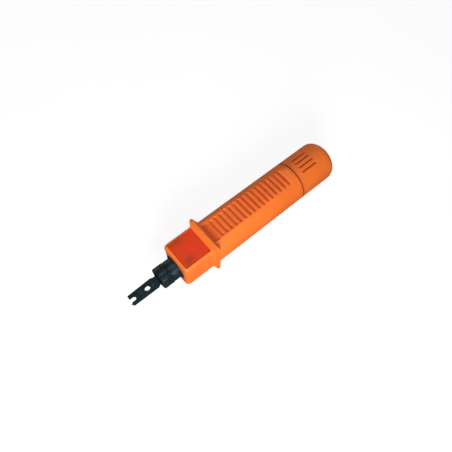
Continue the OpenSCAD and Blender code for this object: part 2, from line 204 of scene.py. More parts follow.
ORANGE = (0.82, 0.165, 0.020)
ORANGE_SHADE = (0.77, 0.145, 0.016)
# Painted shade: the recess colour is put in grooves, the pocket, the ribbed field and the panel seat,
# the gap colour in seams and groove bottoms.
ORANGE_RECESS_SHADE = (0.74, 0.085, 0.008)
ORANGE_GAP_SHADE = (0.24, 0.03, 0.004)
PANEL_RED = (0.64, 0.037, 0.003)
# Painted light: the brighter red put in the panel's middle.
PANEL_PAINTED_LIGHT = (0.74, 0.036, 0.008)
# Colour of the panel's two soft darker patches.
PANEL_DARK_PATCH = (0.24, 0.04, 0.006)
# Painted shade: near-black put in the bottoms of the collar's flutes.
BLACK_GAP_SHADE = (0.001, 0.002, 0.003)

# Direction of the streaks, colour and streak colour.
BLACK_STEELS = {
    "black_steel": ((2200, 260, 260), (0.005, 0.011, 0.015), (0.018, 0.034, 0.041)),
    "blade_steel": ((160, 1500, 700), (0.003, 0.009, 0.012), (0.012, 0.025, 0.030)),
    "rivet_steel": ((700, 700, 700), (0.012, 0.020, 0.024), (0.030, 0.045, 0.050)),
}

# Colour, shade, roughness and direction of the rings.
ACROSS = (2600, 160, 160)
BARE_METALS = {
    "bright_steel": ((0.62, 0.62, 0.63), (0.48, 0.48, 0.5), 0.28, ACROSS),
    "hammer_steel": ((0.3, 0.3, 0.32), (0.22, 0.22, 0.24), 0.4, ACROSS),
    "spring_steel": ((0.5, 0.51, 0.53), (0.38, 0.39, 0.41), 0.32, (600, 600, 600)),
    "seat_brass": ((0.72, 0.5, 0.2), (0.6, 0.4, 0.15), 0.3, ACROSS),
}


def moulded_plastic():
    """Satin orange with a fine mould grain and uneven tone; redder recesses and dark gaps are painted
    shade.
    """
    roughness = 0.44
    material = new_material("orange_plastic", roughness)
    n = Nodes(material)
    n.shader.inputs["Specular IOR Level"].default_value = 0.4
    tone = n.ramp(n.noise(55, 2), 0.0, 1.0, 0.35, 0.7)
    mixed = n.mix(tone, ORANGE, ORANGE_SHADE)
    # Painted shade: the recess layer makes hollows redder, the gap layer makes seams and groove
    # bottoms darker.
    sunk_shade = n.mix(n.attribute("recess_shade"), mixed, ORANGE_RECESS_SHADE)
    n.join(n.mix(n.attribute("gap"), sunk_shade, ORANGE_GAP_SHADE), n.shader.inputs["Base Color"])
    scuffs = n.ramp(n.noise(1, 4, n.scaled(90, 420, 420)), roughness - 0.07, roughness + 0.1, 0.3, 0.7)
    n.join(scuffs, n.shader.inputs["Roughness"])
    grain = n.bump(n.noise(2600, 2), 0.00003, 0.5)
    n.join(n.bump(n.noise(240, 2), 0.00008, 0.25, grain), n.shader.inputs["Normal"])
    return material


def panel_plastic():
    """Deep red-orange inlay, with a painted pool of light that makes its middle a little brighter, and
    two soft darker patches.
    """
    material = new_material("red_panel", 0.5)
    n = Nodes(material)
    n.shader.inputs["Specular IOR Level"].default_value = 0.25
    length, width = (panel_high.x - panel_low.x) / MM, (panel_high.y - panel_low.y) / MM
    front, right = panel_high.x / MM, panel_low.y / MM
    # Painted light: a brighter patch in the panel's middle.
    light_pool = n.spot((front - 0.52 * length, right + 0.55 * width), (1, 1), 0.0055)
    first = n.spot((front - 0.30 * length, right + 0.05 * width), (0.55, 1.0), 0.0040)
    second = n.spot((front - 0.24 * length, right + 0.82 * width), (0.6, 1.0), 0.0040)
    dark_patches = n.ramp(n.combined("MAXIMUM", first, second), 0.0, 0.7)
    base = n.mix(n.ramp(light_pool, 0.0, 0.6), PANEL_RED, PANEL_PAINTED_LIGHT)
    n.join(n.mix(dark_patches, base, PANEL_DARK_PATCH), n.shader.inputs["Base Color"])
    n.join(n.ramp(n.noise(300, 3), 0.42, 0.58), n.shader.inputs["Roughness"])
    n.join(n.bump(n.noise(1800, 3), 0.00005, 0.6), n.shader.inputs["Normal"])
    return material


def black_steel(name, stretch, colour, streak):
    """Blackened steel with faint machining streaks; stretch sets their direction."""
    roughness = 0.36
    material = new_material(name, roughness, 0.35)
    n = Nodes(material)
    n.shader.inputs["Specular IOR Level"].default_value = 0.2
    streaks = n.noise(1, 4, n.scaled(*stretch))
    streaked = n.mix(n.ramp(streaks, 0.0, 1.0, 0.4, 0.68), colour, streak)
    # Painted shade: the gap layer turns the flutes' bottoms near-black.
    n.join(n.mix(n.attribute("gap"), streaked, BLACK_GAP_SHADE), n.shader.inputs["Base Color"])
    blotch = n.ramp(n.noise(420, 3), roughness - 0.1, roughness + 0.14, 0.3, 0.7)
    n.join(blotch, n.shader.inputs["Roughness"])
    n.join(n.bump(streaks, 0.00002, 0.5), n.shader.inputs["Normal"])
    return material


def black_nylon():
    """Matt black nylon with a fine grain."""
    material = new_material("black_nylon", 0.55)
    n = Nodes(material)
    mottle = n.mix(n.noise(300, 3), (0.012, 0.012, 0.014), (0.028, 0.029, 0.032))
    n.join(mottle, n.shader.inputs["Base Color"])
    n.join(n.bump(n.noise(2200, 2), 0.00004, 0.5), n.shader.inputs["Normal"])
    return material


def bare_metal(name, colour, shade, roughness, stretch):
    """Turned or drawn metal, with fine rings across its length."""
    material = new_material(name, roughness, 1.0)
    n = Nodes(material)
    rings = n.noise(1, 3, n.scaled(*stretch))
    n.join(n.mix(rings, colour, shade), n.shader.inputs["Base Color"])
    n.join(n.ramp(rings, roughness - 0.08, roughness + 0.12), n.shader.inputs["Roughness"])
    n.join(n.bump(rings, 0.00002, 0.5), n.shader.inputs["Normal"])
    return material


def seal_rubber():
    """Dull black rubber."""
    material = new_material("seal_rubber", 0.7)
    n = Nodes(material)
    mottle = n.mix(n.noise(500, 3), (0.012, 0.012, 0.012), (0.03, 0.03, 0.03))
    n.join(mottle, n.shader.inputs["Base Color"])
    n.join(n.bump(n.noise(1500, 3), 0.00005, 0.5), n.shader.inputs["Normal"])
    return material


materials = {
    "orange_plastic": moulded_plastic(),
    "red_panel": panel_plastic(),
    "black_nylon": black_nylon(),
    "seal_rubber": seal_rubber(),
    **{name: black_steel(name, *finish) for name, finish in BLACK_STEELS.items()},
    **{name: bare_metal(name, *finish) for name, finish in BARE_METALS.items()},
}


# ---------- Mesh helpers ----------

def new_piece(name, points, faces, sharp=32, layers=None):
    """A mesh object from points in millimetres about the tool's axis, with named layers."""
    points = (np.asarray(points, float) + (0, 0, axis_height)) / MM
    mesh = bpy.data.meshes.new(name)
    mesh.from_pydata(points.tolist(), [], faces)
    for layer_name, values in (layers or {}).items():
        layer = mesh.attributes.new(layer_name, "FLOAT", "POINT")
        layer.data.foreach_set("value", np.asarray(values, np.float32).ravel())
    edit = bmesh.new()
    edit.from_mesh(mesh)
    bmesh.ops.remove_doubles(edit, verts=edit.verts, dist=1e-7)
    bmesh.ops.recalc_face_normals(edit, faces=edit.faces)
    edit.to_mesh(mesh)
    edit.free()
    mesh.polygons.foreach_set("use_smooth", [True] * len(mesh.polygons))
    mesh.set_sharp_from_angle(angle=math.radians(sharp))
    piece = bpy.data.objects.new(name, mesh)
    scene.collection.objects.link(piece)
    return piece


def dress(piece, body, slot, *nodes):
    """Gives a finished piece its material, its body and the CAD nodes that it stands for."""
    piece.data.materials.append(materials[slot])
    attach(piece, body)
    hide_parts(*nodes)


def grid_faces(rows, columns, closed_rows):
    """Quads over a grid of points whose columns close on themselves."""
    steps = rows if closed_rows else rows - 1
    row = np.arange(steps)[:, None]
    column = np.arange(columns)[None, :]
    next_row = (row + 1) % rows
    next_column = (column + 1) % columns
    quads = np.stack([
        row * columns + column,
        row * columns + next_column,
        next_row * columns + next_column,
        next_row * columns + column,
    ], axis=-1)
    return quads.reshape(-1, 4).tolist()


def grid_faces_from(first, rows, columns):
    """The same quads for an open grid whose points start at number first."""
    return [[first + k for k in face] for face in grid_faces(rows, columns, False)]


def fillet_path(corners, closed=False, steps=5):
    """Points along a path of (a, b, radius) corners, with each corner rounded."""
    path = []
    count = len(corners)
    for i, (a, b, radius) in enumerate(corners):
        here = np.array((a, b), float)
        if radius == 0 or (not closed and i in (0, count - 1)):
            path.append(tuple(here))
            continue
        back = np.array(corners[i - 1][:2], float) - here
        ahead = np.array(corners[(i + 1) % count][:2], float) - here
        back_length, ahead_length = np.linalg.norm(back), np.linalg.norm(ahead)
        back, ahead = back / back_length, ahead / ahead_length
        half = math.acos(np.clip(back @ ahead, -1, 1)) / 2
        reach = min(radius / math.tan(half), 0.49 * back_length, 0.49 * ahead_length)
        radius = reach * math.tan(half)
        centre = here + (back + ahead) / np.linalg.norm(back + ahead) * radius / math.sin(half)
        start = here + back * reach - centre
        end = here + ahead * reach - centre
        span = math.pi - 2 * half
        for k in range(steps + 1):
            t = k / steps
            blend = (math.sin((1 - t) * span) * start + math.sin(t * span) * end) / math.sin(span)
            path.append(tuple(centre + blend))
    return path


def turned(profile, angles, radius_at=None):
    """Points of a body turned about the x axis; radius_at adjusts each (x, r, angle)."""
    x = np.array([p[0] for p in profile])[:, None]
    r = np.array([p[1] for p in profile])[:, None]
    angle = np.radians(np.asarray(angles, float))[None, :]
    x, r, angle = np.broadcast_arrays(x, r, angle)
    if radius_at:
        r = radius_at(x, r, angle)
    return np.stack([x, r * np.sin(angle), r * np.cos(angle)], axis=-1).reshape(-1, 3)


def even_angles(count):
    """Angles in degrees, evenly round the axis."""
    return np.arange(count) * 360.0 / count


def spread(centres, offsets, base):
    """Sorted angles: the even base ones and a cluster about each centre."""
    angles = list(base)
    angles += [(c + o) % 360 for c in centres for o in offsets]
    return thinned(sorted(angles), 0.12)


def thinned(values, least):
    """Sorted values with any that come closer than least to the last one left out."""
    kept = [values[0]]
    for value in values[1:]:
        if value - kept[-1] >= least:
            kept.append(value)
    return np.array(kept)


def both_sides(offsets):
    """Each offset and its negative."""
    return [sign * o for o in offsets for sign in (-1, 1)]


def turned_piece(name, profile, angles, closed, radius_at=None, layers=None):
    """A piece turned about the x axis; a closed profile joins its last point to its first."""
    points = turned(profile, angles, radius_at)
    faces = grid_faces(len(profile), len(angles), closed)
    return new_piece(name, points, faces, layers=layers)


def plate_mesh(outline, holes, low, high, edge):
    """Points and faces of a flat plate whose edges are softened by edge, between two heights."""
    points, faces = [], []
    loops = [outline, *holes]
    caps = {low: [], high: []}
    for loop in loops:
        flat = np.array(loop, float)
        ahead = np.roll(flat, -1, axis=0) - flat
        ahead /= np.linalg.norm(ahead, axis=1)[:, None]
        behind = np.roll(ahead, 1, axis=0)
        tangent = ahead + behind
        normal = np.stack([-tangent[:, 1], tangent[:, 0]], axis=1)
        normal /= np.linalg.norm(normal, axis=1)[:, None]
        x, y = flat[:, 0], flat[:, 1]
        area = 0.5 * np.sum(x * np.roll(y, -1) - np.roll(x, -1) * y)
        inward = math.copysign(1, area) * (1 if loop is outline else -1)
        levels = [
            (low, edge), (low + 0.3 * edge, 0.3 * edge), (low + edge, 0),
            (high - edge, 0), (high - 0.3 * edge, 0.3 * edge), (high, edge),
        ]
        first = len(points)
        for z, inset in levels:
            ring = flat + normal * inward * inset
            points += [(x, y, z) for x, y in ring]
        faces += grid_faces_from(first, len(levels), len(loop))
        caps[low].append((first, flat + normal * inward * edge))
        caps[high].append((first + (len(levels) - 1) * len(loop), flat + normal * inward * edge))
    for cap in caps.values():
        index = [start + k for start, ring in cap for k in range(len(ring))]
        rings = [[Vector((x, y, 0)) for x, y in ring] for _, ring in cap]
        faces += [[index[k] for k in face] for face in tessellate_polygon(rings)]
    return points, faces


# ---------- Moulded handle ----------

FLAT_FRONT = 11.2  # height of the flat sides above the axis, at the flange
FLAT_RISE = 1.9  # how much higher they are at their rear
FLAT_RUN = 4.5  # from the cap to the flats' rear
RUN_OUT = 5.0  # length over which a flat comes up to the round handle
GROOVES = 16
GROOVE_STEP = 3.78
FIRST_GROOVE = 7.15  # from the flange to the first groove's middle
GROOVE_R = 0.75
GROOVE_HALF = (5.7, 7.0)  # half length of the first and the last groove
GROOVE_DEEP = (0.65, 0.9)  # depth of the first and the last groove
RIDGE_ROUND = 0.8
EDGE_ROUND = 0.55  # along the flats and at the cap's end
POCKET = (4.4, 0.6)  # rear and front of the pocket, from the flange
POCKET_DEEP = 0.7
POCKET_ROUND = (0.5, 0.3)  # its corners and its rim
FLANGE_BASE = 4.4  # thickness where it leaves the nose
FLANGE_RIM = 1.6
FLANGE_ROUND = 2.4
FLANGE_EDGE = 0.5
FLANGE_CURVE = 1.7  # power of the curve from base to rim
OVERLAP = 1  # how far the handle and the nose reach into the flange
NOSE_L = 21.3
NOSE_ROUND = 2.2
NOSE_FRONT_ROUND = (1.8, 4.0)  # of the front edges: across the top, and down the sides
NOSE_BLEND = 5  # width over which one turns into the other
JOIN_ROUND = 0.7  # where the handle, the flange and the nose meet
PANEL_SUNK = 0.3
SEAT_GAP = 0.05
SEAT_ROUND = 0.18
BUSH_FIT = 0.02
HOLDER_BORE_R = 7.18
HOLDER_BORE_L = 17
MECHANISM_BORE_R = 8.15
NECK_BORE = (10.3, 6.1)  # radius and depth

SEAM_SHADE = 0.5  # how far the painted shade at the seam reaches
GROOVE_SHADE = 0.35  # share of the gap colour, a painted shade, at the bottom of the deepest groove
RIBBED_SHADE = 0.45  # share of the recess colour, a painted shade, put between the grooves

FACE_STEP = 0.025  # from each end face to the skin's first row
FRONT_REACH = 4.2  # length of the close rows behind the front face
FACE_SHARES = (0.05, 0.2, 0.5)  # rings on the front face, from its edge to the bush
CORNER_HANDLE = 9.2  # half width of the square that the rays start from
CORNER_NOSE = 9.9
CORNER_FACE = 7.4
RAY_START = 0.45  # height where the side rays start, as a share of that half width
RAY_REACH = 14.0
HALVINGS = 26

grip_rear, nose_face = housing_low.x, housing_high.x
flange_rear = nose_face - NOSE_L - FLANGE_BASE
flange_mid = flange_rear + FLANGE_BASE / 2
flat_rear = grip_rear + FLAT_RUN
first_groove = flange_rear - FIRST_GROOVE
nose_half = panel_high.z - axis_height + PANEL_SUNK


def smooth_max(a, b, k):
    """The larger of two fields, rounded over a width k where they cross."""
    share = np.clip(0.5 + 0.5 * (a - b) / k, 0, 1)
    return b + (a - b) * share + k * share * (1 - share)


def smooth_min(a, b, k):
    return -smooth_max(-a, -b, k)


def rounded_square_field(y, z, half, radius):
    """Distance from a rounded square about the axis, negative inside it."""
    qy, qz = np.abs(y) - half + radius, np.abs(z) - half + radius
    outside = np.hypot(np.maximum(qy, 0), np.maximum(qz, 0))
    return outside + np.minimum(np.maximum(qy, qz), 0) - radius


def flat_plane(x):
    """Height of the flat sides, which rise towards the cap."""
    return FLAT_FRONT + (flange_rear - x) * FLAT_RISE / (flange_rear - flat_rear)


def flat_height(x):
    """The flat side's height, with the run-out that brings it up to the round handle."""
    rise = np.clip((flat_rear + 1 - x) / RUN_OUT, 0, 1)
    plane = flat_plane(x)
    return plane + (grip_r - plane) * rise * rise * (3 - 2 * rise)


def groove_field(x, y, z):
    """Distance from the nearest finger groove, negative inside it."""
    index = np.clip(np.round((first_groove - x) / GROOVE_STEP), 0, GROOVES - 1)
    share = index / (GROOVES - 1)
    half = GROOVE_HALF[0] + (GROOVE_HALF[1] - GROOVE_HALF[0]) * share
    deep = GROOVE_DEEP[0] + (GROOVE_DEEP[1] - GROOVE_DEEP[0]) * share
    middle = first_groove - index * GROOVE_STEP
    across = np.maximum(np.abs(y) - half, 0)
    up = z - flat_plane(middle) + deep - GROOVE_R
    return np.sqrt((x - middle) ** 2 + across ** 2 + up ** 2) - GROOVE_R


def pocket_field(x, y, z):
    """Negative inside the shallow pocket behind the flange."""
    middle = flange_rear - (POCKET[0] + POCKET[1]) / 2
    half = (POCKET[0] - POCKET[1]) / 2
    corner, _ = POCKET_ROUND
    sides = smooth_max(np.abs(x - middle) - half, np.abs(y) - GROOVE_HALF[1], corner)
    return np.maximum(sides, FLAT_FRONT - POCKET_DEEP - z)


def handle_field(x, y, z):
    tube = np.hypot(y, z) - grip_r
    _, rim = POCKET_ROUND
    solid = smooth_max(tube, z - flat_height(x), EDGE_ROUND)
    solid = smooth_max(solid, -pocket_field(x, y, z), rim)
    solid = smooth_max(solid, -groove_field(x, y, z), RIDGE_ROUND)
    solid = smooth_max(solid, x - flange_rear - OVERLAP, 0.2)
    return smooth_max(solid, grip_rear - x, EDGE_ROUND)


def flange_field(x, y, z):
    square = rounded_square_field(y, z, flange_half, FLANGE_ROUND)
    reach = (flange_half - np.maximum(np.abs(y), np.abs(z))) / (flange_half - nose_half)
    swell = np.where(reach > 0, np.abs(reach) ** FLANGE_CURVE, 0) * (FLANGE_BASE - FLANGE_RIM) / 2
    wedge = np.abs(x - flange_mid) - FLANGE_RIM / 2 - swell
    return smooth_max(square, wedge, FLANGE_EDGE)


def panel_recess_field(x, y, z):
    middle = (panel_low.x + panel_high.x) / 2
    sides = np.maximum(
        np.abs(x - middle) - (panel_high.x - panel_low.x) / 2 - SEAT_GAP,
        np.abs(y) - (panel_high.y - panel_low.y) / 2 - SEAT_GAP,
    )
    return np.maximum(sides, panel_low.z - axis_height - z)


def nose_field(x, y, z):
    square = rounded_square_field(y, z, nose_half, NOSE_ROUND)
    ends = np.maximum(x - nose_face, flange_rear + OVERLAP - x)
    upright = np.clip((np.abs(y) - z) / NOSE_BLEND + 0.5, 0, 1)
    across, down = NOSE_FRONT_ROUND
    solid = smooth_max(square, ends, across + (down - across) * upright)
    return smooth_max(solid, -panel_recess_field(x, y, z), SEAT_ROUND)


def grip_field(x, y, z):
    """Negative inside the moulding; its top and underside are alike."""
    z = np.abs(z)
    solid = smooth_min(handle_field(x, y, z), flange_field(x, y, z), JOIN_ROUND)
    return smooth_min(solid, nose_field(x, y, z), JOIN_ROUND)


def grip_rows():
    """Stations along the handle, close together wherever its shape changes."""
    groove = [0, *both_sides((0.2, 0.4, 0.58, 0.72, 0.86, 1.05, 1.4))]
    edge = [0, *both_sides((0.04, 0.1, 0.18, 0.3, 0.45))]
    rows = list(np.arange(grip_rear + 0.45, flat_rear, 0.45))
    rows += [grip_rear + o for o in (FACE_STEP, 0.04, 0.08, 0.15, 0.25, 0.38, 0.55)]
    rows += [first_groove - i * GROOVE_STEP + o for i in range(GROOVES) for o in groove]
    rows += [flange_rear - p + o for p in POCKET for o in edge]
    rows += list(np.arange(flange_rear - 0.6, flange_rear + FLANGE_BASE + 0.7, 0.09))
    rows += list(np.arange(flange_rear + FLANGE_BASE, nose_face, 1.2))
    rows += [p + o for p in (panel_low.x - SEAT_GAP, panel_high.x + SEAT_GAP) for o in edge]
    front = [FACE_STEP, 0.05, 0.09, *(FRONT_REACH * np.linspace(0.16, 1, 18) ** 2)]
    rows += [nose_face - o for o in front]
    return thinned(sorted(rows), 0.018)


def grip_columns():
    """Rays that the skin is found along: across each side, then fanned round each corner."""
    wall = (panel_high.y + SEAT_GAP) / CORNER_NOSE
    half = [*np.arange(0, 0.55, 0.07), *np.arange(0.55, 0.92, 0.0185), 0.93, 0.95, 0.97]
    half += [wall - 0.004, wall - 0.0015, wall + 0.0015, wall + 0.004]
    grooved = sorted({*half, *[-t for t in half]})
    plain = list(np.linspace(-0.97, 0.97, 33))
    fan = np.radians(np.linspace(0, 90, 9))
    origins, directions = [], []
    for quarter in range(4):
        turn = math.radians(90 * quarter)
        c, s = math.cos(turn), math.sin(turn)
        across = grooved if quarter % 2 == 0 else plain
        rays = [((t, RAY_START), (0.0, 1.0)) for t in across]
        rays += [((1.0, 1.0), (math.sin(a), math.cos(a))) for a in fan]
        for (oy, oz), (dy, dz) in rays:
            origins.append((oy * c + oz * s, oz * c - oy * s))
            directions.append((dy * c + dz * s, dz * c - dy * s))
    return np.array(origins), np.array(directions)


def grip_recess_shade(x, y, z):
    """Painted shade: how sunk and red each point is made in the grooves, pocket, ribbed field and
    panel seat.
    """
    cut = np.minimum(groove_field(x, y, z), pocket_field(x, y, z))
    below_flat = np.clip((flat_height(x) - 0.02 - z) / 0.3, 0, 1)
    sunk_shade = np.clip(0.5 - cut / 0.4, 0, 1) * below_flat
    ribbed_end = first_groove - (GROOVES - 1) * GROOVE_STEP
    past_ends = np.maximum(x - flange_rear, ribbed_end - x) - 0.5
    outside = np.maximum(np.abs(y) - GROOVE_HALF[1], past_ends)
    ribbed = np.clip(0.5 - outside, 0, 1) * (z > flat_height(x) - 1.5)
    seat = (panel_recess_field(x, y, z) < 0.02) * 1.0
    return np.maximum(np.maximum(sunk_shade, RIBBED_SHADE * ribbed), seat)


def grip_gap_shade(x, y, z):
    """Painted shade: how dark each point is made at the seam to the cap and at the bottoms of the
    finger grooves.
    """
    seam = np.clip(1 - (x - grip_rear) / SEAM_SHADE, 0, 1)
    inside = np.clip(1 - groove_field(x, y, z) / 0.2, 0, 1)
    deep = np.clip((flat_height(x) - z) / GROOVE_DEEP[1], 0, 1)
    return np.maximum(seam, GROOVE_SHADE * inside * deep ** 2)


def grip_skin():
    """The moulding's skin, found by halving the stretch of each ray that holds it."""
    x = grip_rows()[:, None]
    origins, directions = grip_columns()
    share = np.clip((x - flange_rear - 0.3) / (FLANGE_BASE - 0.6), 0, 1)
    corner = CORNER_HANDLE + (CORNER_NOSE - CORNER_HANDLE) * share * share * (3 - 2 * share)
    past_panel = np.clip((x - panel_high.x - 0.1) / (nose_face - panel_high.x - 0.1), 0, 1)
    corner = corner - (CORNER_NOSE - CORNER_FACE) * past_panel
    oy, oz = corner * origins[:, 0], corner * origins[:, 1]
    dy, dz = directions[:, 0][None, :], directions[:, 1][None, :]
    near = np.zeros_like(oy)
    far = np.full_like(oy, RAY_REACH)
    for _ in range(HALVINGS):
        middle = (near + far) / 2
        inside = grip_field(x, oy + dy * middle, oz + dz * middle) < 0
        near = np.where(inside, middle, near)
        far = np.where(inside, far, middle)
    y, z = oy + dy * near, oz + dz * near
    return np.stack([np.broadcast_to(x, y.shape), y, z], axis=-1)


def grip_bore(skin):
    """Rings across the front face and down the bore to the cap's end."""
    angle = np.arctan2(skin[-1, :, 1], skin[-1, :, 2])
    bush_bore = bush_high.y + BUSH_FIT
    holder_bore_rear = nose_face - HOLDER_BORE_L
    neck_r, neck_l = NECK_BORE
    steps = [
        (nose_face - FACE_STEP, bush_bore), (bush_low.x, bush_bore),
        (bush_low.x, HOLDER_BORE_R), (holder_bore_rear, HOLDER_BORE_R),
        (holder_bore_rear, MECHANISM_BORE_R), (grip_rear + neck_l, MECHANISM_BORE_R),
        (grip_rear + neck_l, neck_r), (grip_rear, neck_r),
    ]
    rings = [
        np.stack([np.full_like(angle, x), r * np.sin(angle), r * np.cos(angle)], axis=-1)
        for x, r in steps
    ]
    edge = skin[-1]
    return np.array([*[edge + (rings[0] - edge) * share for share in FACE_SHARES], *rings])


def make_grip():
    """The handle, guard and nose in one: the skin, closed down the bore."""
    skin = grip_skin()
    bore = grip_bore(skin)
    x, y, z = skin[..., 0], skin[..., 1], np.abs(skin[..., 2])
    unshaded = np.zeros(bore.shape[:2])
    # Both layers are painted shade: redder in the hollows, darker in the seam and the groove bottoms.
    layers = {
        "recess_shade": np.concatenate([grip_recess_shade(x, y, z), unshaded]),
        "gap": np.concatenate([grip_gap_shade(x, y, z), unshaded]),
    }
    points = np.concatenate([skin, bore])
    faces = grid_faces(points.shape[0], points.shape[1], True)
    piece = new_piece("grip_shell", points.reshape(-1, 3), faces, layers=layers)
    dress(piece, "handle", "orange_plastic", "grip_housing")


# ---------- Twist cap ----------

CAP_ROUND = 7.7
CAP_GROOVES = 4  # on the top, and as many underneath
CAP_GROOVE_STEP = 15
CAP_GROOVE = (5.4, 11.8)  # from the joint to the grooves' front, and their length
CAP_GROOVE_EDGE = (0.12, 0.78)  # half width of a groove's floor, and width of its flank
CAP_GROOVE_DEEP = 0.7
# Share of the dark painted shade at the bottom of the cap's grooves.
CAP_GROOVE_SHADE = 0.75
CAP_DIMPLE = (1.5, 1.1, 0.25)  # radii of its rim and floor, and its depth
CAP_END_T = 4.5
CAP_HOLLOW_R = 8.0
CORE_SEAT = (11.55, 23.95)  # radius, and distance from the cap's rear
CAP_LIP_R = 13.3
CAP_LIP_GAP = 0.07

cap_groove_front = cap_high.x - CAP_GROOVE[0]
cap_groove_rear = cap_groove_front - CAP_GROOVE[1]


def cap_groove_angles():
    """Angles in degrees of the grip grooves' middles."""
    middle = (CAP_GROOVES - 1) / 2
    return [side + (i - middle) * CAP_GROOVE_STEP for side in (0, 180) for i in range(CAP_GROOVES)]


def cap_groove_share(x, angle):
    """1 at the bottom of a grip groove and 0 off it."""
    floor_half, flank = CAP_GROOVE_EDGE
    along = np.maximum(np.maximum(x - cap_groove_front, cap_groove_rear - x), 0)
    share = np.zeros_like(x)
    for centre in cap_groove_angles():
        away = (np.degrees(angle) - centre + 180) % 360 - 180
        distance = np.hypot(np.radians(away) * grip_r, along)
        t = np.clip((distance - floor_half) / flank, 0, 1)
        share = np.maximum(share, 1 - t * t * (3 - 2 * t))
    return share


def make_cap():
    """The cap, with its grooves sunk into the stations between its two ends."""
    front, rear = cap_groove_front, cap_groove_rear
    rim, floor, deep = CAP_DIMPLE
    tail = fillet_path([
        (rear - 1.0, grip_r, 0), (cap_low.x, grip_r, CAP_ROUND), (cap_low.x, rim, 0.15),
        (cap_low.x + deep, floor, 0.15), (cap_low.x + deep, 0, 0),
    ], steps=14)
    lip_end = grip_rear - CAP_LIP_GAP
    hollow_end = cap_low.x + CAP_END_T
    seat_r, seat_rear = CORE_SEAT[0], cap_low.x + CORE_SEAT[1]
    inside = fillet_path([
        (hollow_end, 0, 0), (hollow_end, CAP_HOLLOW_R, 1.0), (seat_rear, CAP_HOLLOW_R, 0),
        (seat_rear, seat_r, 0), (lip_end, seat_r, 0.1), (lip_end, CAP_LIP_R, 0.1),
        (cap_high.x, CAP_LIP_R, 0), (cap_high.x, grip_r, 0.4), (cap_high.x - 2, grip_r, 0),
    ])
    ends = [0, *both_sides((0.2, 0.36, 0.5, 0.64, 0.78, 0.92, 1.06))]
    stations = sorted({*[front + o for o in ends], *[rear + o for o in ends], front - 4, rear + 4})
    side = [(x, grip_r) for x in stations[::-1]]
    profile = inside + side + tail
    groove = (0, 0.2, 0.34, 0.46, 0.58, 0.7, 0.82, 0.94, 1.06)
    offsets = both_sides([math.degrees(o / grip_r) for o in groove])
    angles = spread(cap_groove_angles(), offsets, even_angles(120))
    touched = np.zeros((len(profile), 1), bool)
    touched[len(inside):len(inside) + len(side) + 1] = True

    def radius_at(x, r, angle):
        return r - CAP_GROOVE_DEEP * cap_groove_share(x, angle) * touched

    x = np.array([p[0] for p in profile])[:, None]
    x, angle = np.broadcast_arrays(x, np.radians(angles)[None, :])
    # Painted shade: the grooves made redder, and the seam and the groove bottoms darker.
    recess_shade = cap_groove_share(x, angle) * touched
    seam = np.clip(1 - (cap_high.x - x) / SEAM_SHADE, 0, 1)
    layers = {"recess_shade": recess_shade, "gap": np.maximum(seam, CAP_GROOVE_SHADE * recess_shade ** 2)}
    piece = turned_piece("cap_shell", profile, angles, False, radius_at, layers)
    dress(piece, "cap", "orange_plastic", "end_cap")


# ---------- Nose panels, bush and holder ----------

def make_panels():
    """Inlaid panels, one in the top of the nose and one in its underside."""
    low, high = panel_low.z - axis_height, panel_high.z - axis_height
    corners = [
        (panel_low.x, panel_low.y, 0.25), (panel_high.x, panel_low.y, 0.25),
        (panel_high.x, panel_high.y, 0.25), (panel_low.x, panel_high.y, 0.25),
    ]
    outline = fillet_path(corners, closed=True)
    sides = (("top_inlay", "top_panel", 1), ("bottom_inlay", "bottom_panel", -1))
    for name, node, side in sides:
        points, faces = plate_mesh(outline, [], low, high, 0.12)
        points = [(x, y, side * z) for x, y, z in points]
        piece = new_piece(name, points, faces, 20)
        dress(piece, "handle", "red_panel", node)


def make_bush():
    """The guide ring in the mouth of the nose."""
    profile = fillet_path([
        (bush_low.x, HOLDER_BORE_R, 0.2), (bush_high.x, HOLDER_BORE_R, 0.25),
        (bush_high.x, bush_high.y, 0.2), (bush_low.x, bush_high.y, 0.2),
    ], closed=True)
    piece = turned_piece("bush_ring", profile, even_angles(96), True)
    dress(piece, "handle", "black_nylon", "nose_bush")


HOLDER_R = 7.1
WAIST_R = 6.88
HOLDER_FLANGE_L = 3
HOLDER_STEP = 5.4  # from the nose's face to the ring groove's middle
RING_GROOVE = (0.35, 0.25)  # its half width and its depth
FLUTES = 10
FLUTE_R = 0.45
FLUTE_RUN = 1.4  # how far the flutes go back into the nose
BLADE_BORE = 3.28
BLADE_BORE_REAR = 15.1  # from the holder's rear
ROD_BORE = (3.21, 11.2)  # radius, and depth from the holder's rear
EAR_SLOT = (4.8, 1.25)  # reach from the axis, and half width
MOUTH = (5.0, 1.5)  # radius and depth
WALL_L = 3.0
CHAMBER = (5.0, 4.3)  # radius and length

face = holder_high.x
holder_step = nose_face + HOLDER_STEP
flute_rear = nose_face - FLUTE_RUN
wall_rear = face - MOUTH[1] - WALL_L
chamber_rear = wall_rear - CHAMBER[1]


def holder_radius(x, r, angle):
    """Flutes along the outside, and the two slots through the wall behind the mouth."""
    flute = np.radians(360 / FLUTES)
    away = (angle % flute) - flute / 2
    centre = HOLDER_R + 0.1
    width = FLUTE_R ** 2 - (centre * np.sin(away)) ** 2
    floor = centre * np.cos(away) - np.sqrt(np.maximum(width, 0))
    outside = (r > WAIST_R - 0.4) & (x > flute_rear)
    r = np.where(outside & (width > 0), np.minimum(r, floor), r)
    slot_end, slot_half = EAR_SLOT
    wall = (np.abs(r - BLADE_BORE) < 0.01) & (x > wall_rear - 0.01)
    slot = slot_half / np.maximum(np.abs(np.sin(angle)), 1e-6)
    return np.where(wall, np.clip(slot, BLADE_BORE, slot_end), r)


